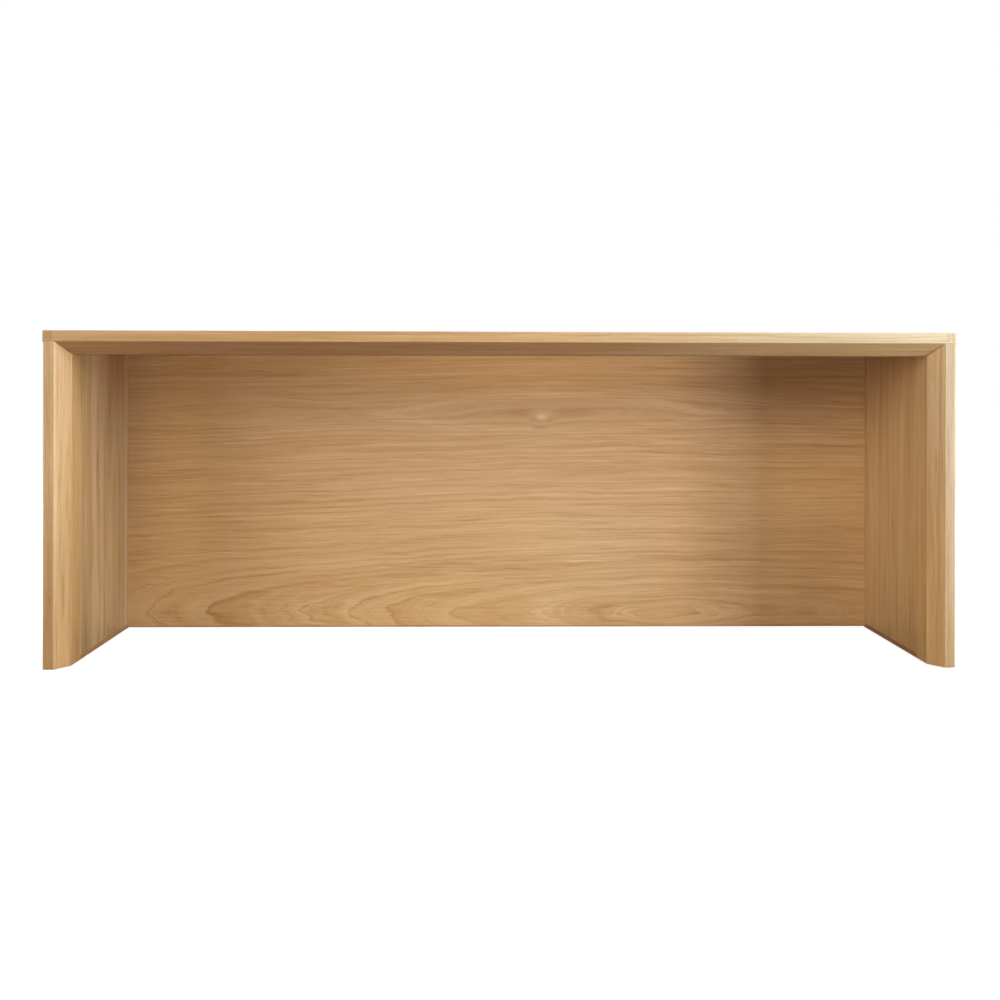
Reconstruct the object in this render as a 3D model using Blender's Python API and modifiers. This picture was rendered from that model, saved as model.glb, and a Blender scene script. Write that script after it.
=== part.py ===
"""Table-top study carrel: a wide open-fronted shell of a top, two sides and a back, in veneered board with
solid bevelled nosings. Metres, +Z up, +X to the sitter's right, +Y away from the sitter.
The origin is at the middle of the footprint, on the table that the glides stand on."""

import math

import bpy
import bmesh
from mathutils import Matrix, Vector

# Overall sizes
WIDTH = 1.524
DEPTH = 0.381
SHELL_HEIGHT = 0.5615

# Slabs: the top and both sides share one front thickness and one bevelled front
SLAB = 0.038
# behind its nosing the top is a thinner panel
PANEL = 0.025
STEP = SLAB - PANEL
EDGE_FLAT = 0.0175
BEVEL_DEPTH = 0.030
NOSING = 0.077
REAR_LIP = 0.003
FOOT_LIP = 0.008
END_LIP = 0.015
END_OVERHANG = 0.0015
VENEER = 0.001
GLUE_LINE = 0.0003

# Back panel, set between the sides
BACK_THICKNESS = 0.019
BACK_INSET = 0.001
BACK_LIFT = 0.002
BACK_FOOT_LIP = 0.003

# Eased edges
ARRIS_RADIUS = 0.0012
END_EASE = 0.0008
ARC_STEPS = 3
EASE_SEGMENTS = 2

# Joinery
SLAB_DOWEL_RADIUS = 0.005
SLAB_DOWEL_LENGTH = 0.040
SLAB_DOWEL_IN_SIDE = 0.026
BACK_DOWEL_RADIUS = 0.004
BACK_DOWEL_LENGTH = 0.030
BACK_DOWEL_IN_FACE = 0.012
DOWEL_CHAMFER_SHARE = 0.25
BORE_CLEARANCE = 0.0003
BORE_RELIEF = 0.001
# how far a cutter runs past the face it opens
BREAKOUT = 0.002

# Cam fittings
CAM_RADIUS = 0.0075
CAM_DEPTH = 0.0130
CAM_CHAMFER = 0.0004
CAM_BORE_DEPTH = 0.0142
CAM_SETBACK = 0.034
# the passage that lets the bolt's head into the cam, from before the cam's axis to past it
CAM_MOUTH = (0.012, 0.0035)
CAM_MOUTH_CLEARANCE = 0.0007
# length, width and depth of each bar of the cross on the cam's face
CAM_CROSS = (0.0080, 0.0050, 0.0014)
BOLT_IN_FACE = 0.011
BOLT_TIP_GAP = 0.0012
BOLT_THREAD_RADIUS = 0.0030
BOLT_CORE_RADIUS = 0.0023
BOLT_SHANK_RADIUS = 0.0030
BOLT_NECK_RADIUS = 0.0020
BOLT_HEAD_RADIUS = 0.0033
BOLT_COLLAR_RADIUS = 0.0037
# distances down from the bolt's end: head round, head, neck top, neck foot, shank top
BOLT_HEAD_LEVELS = (0.001, 0.0025, 0.0035, 0.0075, 0.0085)
# heights over the panel's face: shank foot, collar top, collar foot
BOLT_COLLAR_LEVELS = (0.0022, 0.0016, 0.0006)
BOLT_HEAD_FLAT_SHARE = 0.7
BOLT_THREAD_TOP = -0.0004
BOLT_THREAD_PITCH = 0.0022
BOLT_THREAD_TURNS = 4

# Glides under the sides
GLIDE_STAND = 0.002
GLIDE_RADIUS = 0.011
GLIDE_THICKNESS = 0.005
GLIDE_CHAMFER = 0.001
GLIDE_INSET = 0.025
SCREW_SHANK_RADIUS = 0.0017
SCREW_HEAD_RADIUS = 0.0034
SCREW_HEAD_RIM = 0.0003
SCREW_HEAD_DEPTH = 0.0010
SCREW_LENGTH = 0.022
SCREW_TIP_SHARE = 0.6
# distances back from the screw's point: end of the point, start of the full shank
SCREW_POINT = (0.002, 0.005)
# length, width and depth of each bar of the cross in the screw's head
SCREW_CROSS = (0.0036, 0.0009, 0.0016)

# Levels and planes that follow
TOP_Z = GLIDE_STAND + SHELL_HEIGHT
UNDER_Z = TOP_Z - SLAB
SIDE_BOTTOM = GLIDE_STAND
PANEL_UNDER_Z = TOP_Z - PANEL
SCRIBE_Z = UNDER_Z - GLUE_LINE
SIDE_TOP = PANEL_UNDER_Z - GLUE_LINE
FRONT_Y = -DEPTH / 2
REAR_Y = DEPTH / 2
SIDE_OUTER = WIDTH / 2 - END_OVERHANG
SIDE_INNER = SIDE_OUTER - SLAB
SIDE_MIDDLE = SIDE_OUTER - SLAB / 2
CORE_FRONT = FRONT_Y + NOSING + GLUE_LINE
CORE_REAR = REAR_Y - REAR_LIP - GLUE_LINE
BACK_REAR = REAR_Y - BACK_INSET
BACK_FRONT = BACK_REAR - BACK_THICKNESS
BACK_MIDDLE = (BACK_REAR + BACK_FRONT) / 2
BACK_BOTTOM = SIDE_BOTTOM + BACK_LIFT
BACK_TOP = PANEL_UNDER_Z - GLUE_LINE
BACK_END = SIDE_INNER - GLUE_LINE
SKIN = VENEER + GLUE_LINE

# Where the joinery sits
SLAB_DOWEL_Y = (-0.080, 0.020, 0.120)
SIDE_DOWEL_Z = (0.170, 0.390)
SIDE_CAM_Z = (0.080, 0.480)
TOP_DOWEL_X = (-0.420, 0.0, 0.420)
TOP_CAM_X = (-0.200, 0.200)
GLIDE_Y = (CORE_FRONT + GLIDE_INSET, CORE_REAR - GLIDE_INSET)
SIDES = (("left", -1), ("right", 1))

# Sides of a round piece
FINE = 24
COARSE = 12

# How near two points must be to count as one, and to count as on a plane
WELD = 1e-6
ON_PLANE = 1e-5
# The lathe's own merging distance
LATHE_MERGE = 1e-5
# Faces closer in angle than this are one flat face
FLAT_ANGLE = math.radians(1)
# How far the scribing cutter reaches past the nosings
SCRIBE_PAST = 0.020


def clear_scene():
    for old in list(bpy.data.objects):
        bpy.data.objects.remove(old, do_unlink=True)


def new_collection(name):
    made = bpy.data.collections.new(name)
    bpy.context.scene.collection.children.link(made)
    return made


def make_material(name, color, roughness, metallic=0.0):
    material = bpy.data.materials.new(name)
    material.use_nodes = True
    shader = material.node_tree.nodes["Principled BSDF"]
    shader.inputs["Base Color"].default_value = (*color, 1.0)
    shader.inputs["Roughness"].default_value = roughness
    shader.inputs["Metallic"].default_value = metallic
    material.diffuse_color = (*color, 1.0)
    return material


def place(obj, name, material):
    """Names an object, files it in the carrel's collection and gives it its material."""
    obj.name = name
    obj.data.name = name
    for home in list(obj.users_collection):
        home.objects.unlink(obj)
    carrel.objects.link(obj)
    obj.data.materials.clear()
    obj.data.materials.append(material)
    return obj


def box(name, low, high, material):
    """A board between two corners. Its origin is at its middle."""
    low, high = Vector(low), Vector(high)
    bpy.ops.mesh.primitive_cube_add(size=1, location=(low + high) / 2)
    board = bpy.context.object
    size = high - low
    board.data.transform(Matrix.Diagonal((*size, 1)))
    return place(board, name, material)


def arc_corner(before, corner, after, radius):
    """The points of a round that replaces a corner of an outline."""
    corner = Vector(corner)
    back = (Vector(before) - corner).normalized()
    ahead = (Vector(after) - corner).normalized()
    half = back.angle(ahead) / 2
    centre = corner + (back + ahead).normalized() * (radius / math.sin(half))
    start = corner + back * (radius / math.tan(half)) - centre
    turn = start.angle_signed(corner + ahead * (radius / math.tan(half)) - centre)
    steps = [Matrix.Rotation(-turn * i / ARC_STEPS, 2) for i in range(ARC_STEPS + 1)]
    return [centre + step @ start for step in steps]


def outline_of(corners):
    """An outline from (x, y, radius) corners, each eased to its radius, or left sharp at 0."""
    points = []
    for i, (x, y, radius) in enumerate(corners):
        before = corners[i - 1][:2]
        after = corners[(i + 1) % len(corners)][:2]
        points += arc_corner(before, (x, y), after, radius) if radius else [Vector((x, y))]
    return points


def extruded(name, points, length, matrix, material):
    """A flat outline given length along its own Z, welded into a mesh and turned into place."""
    curve = bpy.data.curves.new(name, "CURVE")
    curve.dimensions = "2D"
    curve.fill_mode = "BOTH"
    curve.extrude = length / 2
    spline = curve.splines.new("POLY")
    spline.points.add(len(points) - 1)
    for place_on, point in zip(spline.points, points):
        place_on.co = (point.x, point.y, 0, 1)
    spline.use_cyclic_u = True
    drawn = bpy.data.objects.new(name, curve)
    bpy.context.scene.collection.objects.link(drawn)
    bpy.context.view_layer.update()
    mesh = bpy.data.meshes.new_from_object(drawn.evaluated_get(bpy.context.evaluated_depsgraph_get()))
    bpy.data.objects.remove(drawn)
    weld = bmesh.new()
    weld.from_mesh(mesh)
    bmesh.ops.remove_doubles(weld, verts=weld.verts, dist=WELD)
    bmesh.ops.dissolve_limit(weld, angle_limit=FLAT_ANGLE, verts=weld.verts, edges=weld.edges)
    bmesh.ops.recalc_face_normals(weld, faces=weld.faces)
    weld.to_mesh(mesh)
    weld.free()
    solid = bpy.data.objects.new(name, mesh)
    bpy.context.scene.collection.objects.link(solid)
    solid.matrix_world = matrix
    return place(solid, name, material)


def ease_edges(obj, width, chosen):
    """Rounds the edges whose two ends both pass the test, which takes world points."""
    weights = obj.data.attributes.new("bevel_weight_edge", "FLOAT", "EDGE")
    for edge in obj.data.edges:
        ends = [obj.matrix_world @ obj.data.vertices[i].co for i in edge.vertices]
        weights.data[edge.index].value = 1.0 if chosen(*ends) else 0.0
    eased = obj.modifiers.new("eased_edges", "BEVEL")
    eased.limit_method = "WEIGHT"
    eased.width = width
    eased.segments = EASE_SEGMENTS
    eased.use_clamp_overlap = False


def drill(start, end, radius, steps=COARSE):
    """A cylinder between two points, as a cutter."""
    start, end = Vector(start), Vector(end)
    along = end - start
    bpy.ops.mesh.primitive_cylinder_add(vertices=steps, radius=radius, depth=along.length)
    cutter = bpy.context.object
    turn = along.to_track_quat("Z", "Y").to_matrix().to_4x4()
    cutter.matrix_world = Matrix.Translation((start + end) / 2) @ turn
    return cutter


def cut(target, cutter):
    """Cuts a cutter out of a target, and files the cutter away."""
    if cutters not in cutter.users_collection:
        for home in list(cutter.users_collection):
            home.objects.unlink(cutter)
        cutters.objects.link(cutter)
        cutter.name = "cutter_" + target.name
        cutter.hide_render = True
        cutter.display_type = "WIRE"
    bore = target.modifiers.new("bore", "BOOLEAN")
    bore.operation = "DIFFERENCE"
    bore.solver = "EXACT"
    bore.object = cutter


def turned(name, profile, place_at, along, material, steps=COARSE):
    """A turned piece from a profile of (radius, height) points, with its axis on a line through place_at."""
    mesh = bpy.data.meshes.new(name)
    points = [(radius, 0, height) for radius, height in profile]
    mesh.from_pydata(points, [(i, i + 1) for i in range(len(points) - 1)], [])
    piece = bpy.data.objects.new(name, mesh)
    bpy.context.scene.collection.objects.link(piece)
    turn = Vector(along).to_track_quat("Z", "Y").to_matrix().to_4x4()
    piece.matrix_world = Matrix.Translation(place_at) @ turn
    lathe = piece.modifiers.new("lathe", "SCREW")
    lathe.steps = steps
    lathe.render_steps = steps
    lathe.use_merge_vertices = True
    lathe.merge_threshold = LATHE_MERGE
    lathe.use_smooth_shade = True
    return place(piece, name, material)


def slab_profile(depth):
    """The section across a slab's front: a narrow flat, a bevel behind it, then the full thickness.
    X runs back from the front and Y up from the slab's hidden corner, with the bevel below."""
    return (
        (0, SLAB, ARRIS_RADIUS),
        (0, SLAB - EDGE_FLAT, ARRIS_RADIUS),
        (BEVEL_DEPTH, 0, ARRIS_RADIUS),
        (depth, 0, 0),
        (depth, SLAB, 0),
    )


def make_top():
    """The top: a veneered core between a deeper bevelled nosing, a rear lipping and two end lippings."""
    inner_end = WIDTH / 2 - END_LIP
    clear_end = inner_end - GLUE_LINE
    # outline x -> world Y, outline y -> world Z, extrusion -> world X
    across = Matrix(((0, 0, 1, 0), (1, 0, 0, FRONT_Y), (0, 1, 0, UNDER_Z), (0, 0, 0, 1)))
    nosing = outline_of(slab_profile(NOSING))
    extruded("top_nosing", nosing, 2 * clear_end, across, solid_wood)

    full = slab_profile(DEPTH)
    ends = outline_of(full[:3] + (
        (NOSING, 0, 0), (NOSING, STEP, 0), (DEPTH, STEP, ARRIS_RADIUS), (DEPTH, SLAB, ARRIS_RADIUS),
    ))
    for side, sign in SIDES:
        middle = Matrix.Translation((sign * (WIDTH / 2 - END_LIP / 2), 0, 0))
        lip = extruded(f"top_{side}_lipping", ends, END_LIP, middle @ across, solid_wood)
        outer = sign * WIDTH / 2
        ease_edges(lip, END_EASE, lambda a, b: max(abs(a.x - outer), abs(b.x - outer)) < ON_PLANE)

    rear = outline_of((
        (0, STEP, 0), (REAR_LIP, STEP, ARRIS_RADIUS), (REAR_LIP, SLAB, ARRIS_RADIUS), (0, SLAB, 0),
    ))
    behind = Matrix.Translation((0, DEPTH - REAR_LIP, 0)) @ across
    extruded("top_rear_lipping", rear, 2 * clear_end, behind, solid_wood)

    low, high = (-clear_end, CORE_FRONT), (clear_end, CORE_REAR)
    core = box("top_core", (*low, PANEL_UNDER_Z + SKIN), (*high, TOP_Z - SKIN), board)
    under = box("top_under_veneer", (*low, PANEL_UNDER_Z), (*high, PANEL_UNDER_Z + VENEER), veneer)
    box("top_face_veneer", (*low, TOP_Z - VENEER), (*high, TOP_Z), veneer)
    return core, under


def make_side(side, sign):
    """One side: a veneered core behind a bevelled nosing that is scribed up under the top's bevel."""
    def span(inner, outer):
        return sorted((sign * inner, sign * outer))

    # outline x -> world Y, outline y -> towards the outside, extrusion -> world Z
    height = TOP_Z - SIDE_BOTTOM
    upright = Matrix((
        (0, sign, 0, sign * SIDE_INNER),
        (1, 0, 0, FRONT_Y),
        (0, 0, 1, SIDE_BOTTOM + height / 2),
        (0, 0, 0, 1),
    ))
    nosing = extruded(f"{side}_nosing", outline_of(slab_profile(NOSING)), height, upright, solid_wood)
    if sign > 0:
        nosing.data.flip_normals()
    glued = FRONT_Y + NOSING - ON_PLANE
    floor_level = SIDE_BOTTOM + ON_PLANE
    ease_edges(nosing, END_EASE, lambda a, b: max(a.z, b.z) < floor_level and min(a.y, b.y) < glued)
    nosing.data.transform(nosing.matrix_world)
    nosing.matrix_world = Matrix.Identity(4)
    cut(nosing, scribe)

    x0, x1 = span(SIDE_INNER, SIDE_OUTER)
    c0, c1 = span(SIDE_INNER + SKIN, SIDE_OUTER - SKIN)
    i0, i1 = span(SIDE_INNER, SIDE_INNER + VENEER)
    o0, o1 = span(SIDE_OUTER - VENEER, SIDE_OUTER)
    core_bottom = SIDE_BOTTOM + FOOT_LIP + GLUE_LINE
    core = box(f"{side}_core", (c0, CORE_FRONT, core_bottom), (c1, CORE_REAR, SIDE_TOP), board)
    inner = box(f"{side}_inner_veneer", (i0, CORE_FRONT, core_bottom), (i1, CORE_REAR, SIDE_TOP), veneer)
    box(f"{side}_outer_veneer", (o0, CORE_FRONT, core_bottom), (o1, CORE_REAR, SIDE_TOP), veneer)
    foot = box(
        f"{side}_foot_lipping",
        (x0, CORE_FRONT, SIDE_BOTTOM), (x1, CORE_REAR, SIDE_BOTTOM + FOOT_LIP), solid_wood,
    )
    ease_edges(foot, END_EASE, lambda a, b: max(a.z, b.z) < floor_level and abs(a.x - b.x) < ON_PLANE)
    rear = box(
        f"{side}_rear_lipping", (x0, REAR_Y - REAR_LIP, SIDE_BOTTOM), (x1, REAR_Y, SIDE_TOP), solid_wood,
    )
    rear_level = REAR_Y - ON_PLANE
    ease_edges(rear, END_EASE, lambda a, b: min(a.y, b.y) > rear_level and abs(a.x - b.x) < ON_PLANE)
    return core, inner, foot


def make_back():
    """The back: a thinner veneered board with a lipped lower edge."""
    core_bottom = BACK_BOTTOM + BACK_FOOT_LIP + GLUE_LINE
    core = box(
        "back_core",
        (-BACK_END, BACK_FRONT + SKIN, core_bottom), (BACK_END, BACK_REAR - SKIN, BACK_TOP), board,
    )
    box(
        "back_front_veneer",
        (-BACK_END, BACK_FRONT, core_bottom), (BACK_END, BACK_FRONT + VENEER, BACK_TOP), veneer,
    )
    rear = box(
        "back_rear_veneer",
        (-BACK_END, BACK_REAR - VENEER, core_bottom), (BACK_END, BACK_REAR, BACK_TOP), veneer,
    )
    foot = box(
        "back_foot_lipping",
        (-BACK_END, BACK_FRONT, BACK_BOTTOM), (BACK_END, BACK_REAR, BACK_BOTTOM + BACK_FOOT_LIP), solid_wood,
    )
    floor_level = BACK_BOTTOM + ON_PLANE
    ease_edges(foot, END_EASE, lambda a, b: max(a.z, b.z) < floor_level and abs(a.y - b.y) < ON_PLANE)
    return core, rear


def make_dowel(name, start, end, radius):
    """A beech dowel with chamfered ends."""
    start, end = Vector(start), Vector(end)
    length = (end - start).length
    chamfer = radius * DOWEL_CHAMFER_SHARE
    profile = (
        (0, length), (radius - chamfer, length), (radius, length - chamfer),
        (radius, chamfer), (radius - chamfer, 0), (0, 0),
    )
    return turned(name, profile, start, end - start, beech)


def dowel_joint(name, centre, along, in_first, length, radius, first, second):
    """A dowel across a joint. along points into the second boards; in_first is its length in the first."""
    centre, along = Vector(centre), Vector(along)
    start, end = centre - along * in_first, centre + along * (length - in_first)
    make_dowel(name, start, end, radius)
    bore = drill(start - along * BORE_RELIEF, end + along * BORE_RELIEF, radius + BORE_CLEARANCE)
    for panel in (*first, *second):
        cut(panel, bore)


def bolt_profile():
    """The cam bolt from its head down: ball neck, plain shank, collar, then a thread of ridges."""
    reach = CAM_SETBACK - BOLT_TIP_GAP
    rounded, head, neck_top, neck_foot, shank_top = (reach - level for level in BOLT_HEAD_LEVELS)
    shank_foot, collar_top, collar_foot = BOLT_COLLAR_LEVELS
    profile = [
        (0, reach), (BOLT_HEAD_RADIUS * BOLT_HEAD_FLAT_SHARE, reach), (BOLT_HEAD_RADIUS, rounded),
        (BOLT_HEAD_RADIUS, head), (BOLT_NECK_RADIUS, neck_top),
        (BOLT_NECK_RADIUS, neck_foot), (BOLT_SHANK_RADIUS, shank_top),
        (BOLT_SHANK_RADIUS, shank_foot), (BOLT_COLLAR_RADIUS, collar_top), (BOLT_COLLAR_RADIUS, collar_foot),
    ]
    for i in range(BOLT_THREAD_TURNS):
        root = BOLT_THREAD_TOP - i * BOLT_THREAD_PITCH
        profile += [(BOLT_CORE_RADIUS, root), (BOLT_THREAD_RADIUS, root - BOLT_THREAD_PITCH / 2)]
    thread_end = BOLT_THREAD_TOP - BOLT_THREAD_TURNS * BOLT_THREAD_PITCH
    profile += [(BOLT_CORE_RADIUS, thread_end), (0, -BOLT_IN_FACE)]
    return profile


def cam_joint(name, centre, along, first, back_core, back_rear):
    """A cam fitting: the bolt stands out of the first panel's face, and the cam sits in the back's rear."""
    centre, along = Vector(centre), Vector(along)
    turned(f"{name}_bolt", bolt_profile(), centre, along, steel)
    bolt_bore = BOLT_COLLAR_RADIUS + BORE_CLEARANCE
    for panel in first:
        hole_end = centre - along * (BOLT_IN_FACE + BORE_RELIEF)
        cut(panel, drill(hole_end, centre + along * BREAKOUT, bolt_bore))
    middle = centre + along * CAM_SETBACK
    cut(back_core, drill(centre - along * BREAKOUT, middle, bolt_bore))

    seat = middle.copy()
    seat.y = BACK_REAR
    outward = Vector((0, 1, 0))
    profile = (
        (0, 0), (CAM_RADIUS - CAM_CHAMFER, 0), (CAM_RADIUS, -CAM_CHAMFER),
        (CAM_RADIUS, -CAM_DEPTH), (0, -CAM_DEPTH),
    )
    cam = turned(f"{name}_cam", profile, seat, outward, zinc, FINE)
    before, past = CAM_MOUTH
    cut(cam, drill(middle - along * before, middle + along * past, BOLT_HEAD_RADIUS + CAM_MOUTH_CLEARANCE))
    for turn in (45, 135):
        bpy.ops.mesh.primitive_cube_add(size=1, location=seat)
        recess = bpy.context.object
        recess.data.transform(Matrix.Diagonal((*CAM_CROSS, 1)))
        recess.data.transform(Matrix.Rotation(math.radians(turn), 4, "Y"))
        cut(cam, recess)
    pocket_end = seat - outward * CAM_BORE_DEPTH
    pocket = drill(pocket_end, seat + outward * BREAKOUT, CAM_RADIUS + BORE_CLEARANCE, FINE)
    cut(back_core, pocket)
    cut(back_rear, pocket)


def make_glide(name, x, y, foot, core):
    """A nylon glide let into the foot lipping, with its countersunk screw."""
    hole = SCREW_SHANK_RADIUS + BORE_CLEARANCE
    sink = SCREW_HEAD_RADIUS + BORE_CLEARANCE
    cone = SCREW_HEAD_DEPTH + (sink - hole)
    profile = (
        (hole, GLIDE_THICKNESS), (GLIDE_RADIUS, GLIDE_THICKNESS), (GLIDE_RADIUS, GLIDE_CHAMFER),
        (GLIDE_RADIUS - GLIDE_CHAMFER, 0), (sink, 0), (sink, SCREW_HEAD_DEPTH), (hole, cone),
        (hole, GLIDE_THICKNESS),
    )
    turned(f"{name}_glide", profile, (x, y, 0), (0, 0, 1), nylon, FINE)
    point_end, shank_start = (SCREW_LENGTH - back for back in SCREW_POINT)
    head_foot = SCREW_HEAD_RADIUS - SCREW_SHANK_RADIUS + SCREW_HEAD_RIM
    outline = (
        (0, SCREW_LENGTH), (SCREW_SHANK_RADIUS * SCREW_TIP_SHARE, point_end),
        (SCREW_SHANK_RADIUS, shank_start), (SCREW_SHANK_RADIUS, head_foot),
        (SCREW_HEAD_RADIUS, SCREW_HEAD_RIM), (SCREW_HEAD_RADIUS, 0), (0, 0),
    )
    screw = turned(f"{name}_glide_screw", outline, (x, y, SCREW_HEAD_DEPTH), (0, 0, 1), steel)
    for turn in (0, 90):
        bpy.ops.mesh.primitive_cube_add(size=1, location=(x, y, SCREW_HEAD_DEPTH))
        bar = bpy.context.object
        bar.data.transform(Matrix.Diagonal((*SCREW_CROSS, 1)))
        bar.data.transform(Matrix.Rotation(math.radians(turn), 4, "Z"))
        cut(screw, bar)
    seat_top = GLIDE_THICKNESS + GLUE_LINE
    cut(foot, drill((x, y, -BREAKOUT), (x, y, seat_top), GLIDE_RADIUS + BORE_CLEARANCE, FINE))
    screw_top = SCREW_HEAD_DEPTH + SCREW_LENGTH + BORE_RELIEF
    pilot = drill((x, y, seat_top - BREAKOUT), (x, y, screw_top), SCREW_SHANK_RADIUS + BORE_CLEARANCE)
    cut(foot, pilot)
    cut(core, pilot)


def make_scribe():
    """The cutter that shapes the sides' nosings to the top's underside, a glue line below it."""
    past = SCRIBE_PAST
    under = ((-past, SLAB - EDGE_FLAT, 0), (0, SLAB - EDGE_FLAT, 0), (BEVEL_DEPTH, 0, 0))
    over = ((NOSING + past, 0, 0), (NOSING + past, SLAB + past, 0), (-past, SLAB + past, 0))
    across = Matrix(((0, 0, 1, 0), (1, 0, 0, FRONT_Y), (0, 1, 0, SCRIBE_Z), (0, 0, 0, 1)))
    cutter = extruded("scribe", outline_of(under + over), WIDTH + past, across, board)
    carrel.objects.unlink(cutter)
    cutters.objects.link(cutter)
    cutter.hide_render = True
    cutter.display_type = "WIRE"
    return cutter


clear_scene()
carrel = new_collection("study_carrel")
cutters = new_collection("cutters")
cutters.hide_render = True
solid_wood = make_material("solid_wood", (0.58, 0.36, 0.18), 0.42)
veneer = make_material("veneer", (0.52, 0.32, 0.16), 0.45)
board = make_material("board", (0.42, 0.32, 0.21), 0.85)
beech = make_material("beech", (0.66, 0.48, 0.30), 0.7)
zinc = make_material("zinc", (0.62, 0.62, 0.60), 0.4, 1.0)
steel = make_material("steel", (0.70, 0.68, 0.62), 0.35, 1.0)
nylon = make_material("nylon", (0.78, 0.76, 0.70), 0.5)

scribe = make_scribe()
top_core, top_under = make_top()
back_core, back_rear = make_back()
for side_name, side_sign in SIDES:
    side_core, side_inner, side_foot = make_side(side_name, side_sign)
    for number, y in enumerate(SLAB_DOWEL_Y, 1):
        dowel_joint(
            f"{side_name}_top_dowel_{number}", (side_sign * SIDE_MIDDLE, y, PANEL_UNDER_Z), (0, 0, 1),
            SLAB_DOWEL_IN_SIDE, SLAB_DOWEL_LENGTH, SLAB_DOWEL_RADIUS, (side_core,), (top_under, top_core),
        )
    inward = Vector((-side_sign, 0, 0))
    for number, z in enumerate(SIDE_DOWEL_Z, 1):
        dowel_joint(
            f"back_{side_name}_dowel_{number}", (side_sign * SIDE_INNER, BACK_MIDDLE, z), inward,
            BACK_DOWEL_IN_FACE, BACK_DOWEL_LENGTH, BACK_DOWEL_RADIUS, (side_core, side_inner), (back_core,),
        )
    for number, z in enumerate(SIDE_CAM_Z, 1):
        cam_joint(
            f"back_{side_name}_{number}", (side_sign * SIDE_INNER, BACK_MIDDLE, z), inward,
            (side_core, side_inner), back_core, back_rear,
        )
    for place_name, y in zip(("front", "rear"), GLIDE_Y):
        make_glide(f"{side_name}_{place_name}", side_sign * SIDE_MIDDLE, y, side_foot, side_core)
down = Vector((0, 0, -1))
for number, x in enumerate(TOP_DOWEL_X, 1):
    dowel_joint(
        f"back_top_dowel_{number}", (x, BACK_MIDDLE, PANEL_UNDER_Z), down,
        BACK_DOWEL_IN_FACE, BACK_DOWEL_LENGTH, BACK_DOWEL_RADIUS, (top_core, top_under), (back_core,),
    )
for number, x in enumerate(TOP_CAM_X, 1):
    cam_joint(
        f"back_top_{number}", (x, BACK_MIDDLE, PANEL_UNDER_Z), down,
        (top_core, top_under), back_core, back_rear,
    )
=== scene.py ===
import math

import bmesh
import bpy
from mathutils import Matrix, Vector


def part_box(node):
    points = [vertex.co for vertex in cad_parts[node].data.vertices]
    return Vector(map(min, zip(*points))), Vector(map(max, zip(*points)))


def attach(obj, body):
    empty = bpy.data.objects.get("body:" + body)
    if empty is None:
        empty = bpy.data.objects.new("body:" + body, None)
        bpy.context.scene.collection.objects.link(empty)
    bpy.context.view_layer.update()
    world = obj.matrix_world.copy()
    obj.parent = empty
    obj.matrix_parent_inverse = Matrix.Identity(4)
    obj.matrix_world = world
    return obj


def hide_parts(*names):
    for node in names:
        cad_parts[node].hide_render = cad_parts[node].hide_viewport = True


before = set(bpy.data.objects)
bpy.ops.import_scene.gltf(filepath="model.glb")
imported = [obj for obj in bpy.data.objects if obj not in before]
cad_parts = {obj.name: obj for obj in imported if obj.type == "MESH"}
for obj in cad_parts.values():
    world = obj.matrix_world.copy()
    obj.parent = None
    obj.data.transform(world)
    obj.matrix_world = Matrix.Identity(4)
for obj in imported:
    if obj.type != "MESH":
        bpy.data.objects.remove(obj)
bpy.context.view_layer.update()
print("carrel: frame loaded,", len(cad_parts), "nodes")


# small helpers for meshes and nodes

def hexColour(code):
    # a colour code as red, green and blue of linear light
    parts = [int(code[i:i + 2], 16) / 255 for i in (0, 2, 4)]
    return (*[p / 12.92 if p <= 0.04045 else ((p + 0.055) / 1.055) ** 2.4 for p in parts], 1.0)


def addObject(name, mesh, material):
    made = bpy.data.objects.new(name, mesh)
    bpy.context.scene.collection.objects.link(made)
    made.data.materials.append(material)
    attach(made, "root")
    return made


def plug(tree, socket, value):
    # a socket is linked, anything else is typed in
    if isinstance(value, bpy.types.NodeSocket):
        tree.links.new(value, socket)
    else:
        socket.default_value = value


def calc(tree, operation, *values, clamp=False):
    node = tree.nodes.new("ShaderNodeMath")
    node.operation = operation
    node.use_clamp = clamp
    for socket, value in zip(node.inputs, values):
        plug(tree, socket, value)
    return node.outputs[0]


def times(tree, first, second):
    return calc(tree, "MULTIPLY", first, second)


def plus(tree, first, second):
    return calc(tree, "ADD", first, second)


def minus(tree, first, second):
    return calc(tree, "SUBTRACT", first, second)


def timesPlus(tree, value, factor, more):
    return calc(tree, "MULTIPLY_ADD", value, factor, more)


def joined(tree, x, y, z):
    node = tree.nodes.new("ShaderNodeCombineXYZ")
    for socket, value in zip(node.inputs, (x, y, z)):
        plug(tree, socket, value)
    return node.outputs[0]


def parted(tree, vector):
    node = tree.nodes.new("ShaderNodeSeparateXYZ")
    tree.links.new(vector, node.inputs[0])
    return node.outputs


def cloud(tree, where, scale, detail=2.0, roughness=0.5):
    node = tree.nodes.new("ShaderNodeTexNoise")
    tree.links.new(where, node.inputs["Vector"])
    node.inputs["Scale"].default_value = scale
    node.inputs["Detail"].default_value = detail
    node.inputs["Roughness"].default_value = roughness
    return node.outputs[0]


def ramped(tree, value, low, high, outLow=0.0, outHigh=1.0, smooth=True):
    node = tree.nodes.new("ShaderNodeMapRange")
    node.interpolation_type = "SMOOTHSTEP" if smooth else "LINEAR"
    for socket, number in zip(node.inputs, (value, low, high, outLow, outHigh)):
        plug(tree, socket, number)
    return node.outputs[0]


def blended(tree, factor, first, second, mode="MIX"):
    node = tree.nodes.new("ShaderNodeMix")
    node.data_type = "RGBA"
    node.blend_type = mode
    plug(tree, node.inputs["Factor"], factor)
    # a Mix node's two colours come after its numbers and vectors
    plug(tree, node.inputs[6], first)
    plug(tree, node.inputs[7], second)
    return node.outputs[2]


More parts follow.
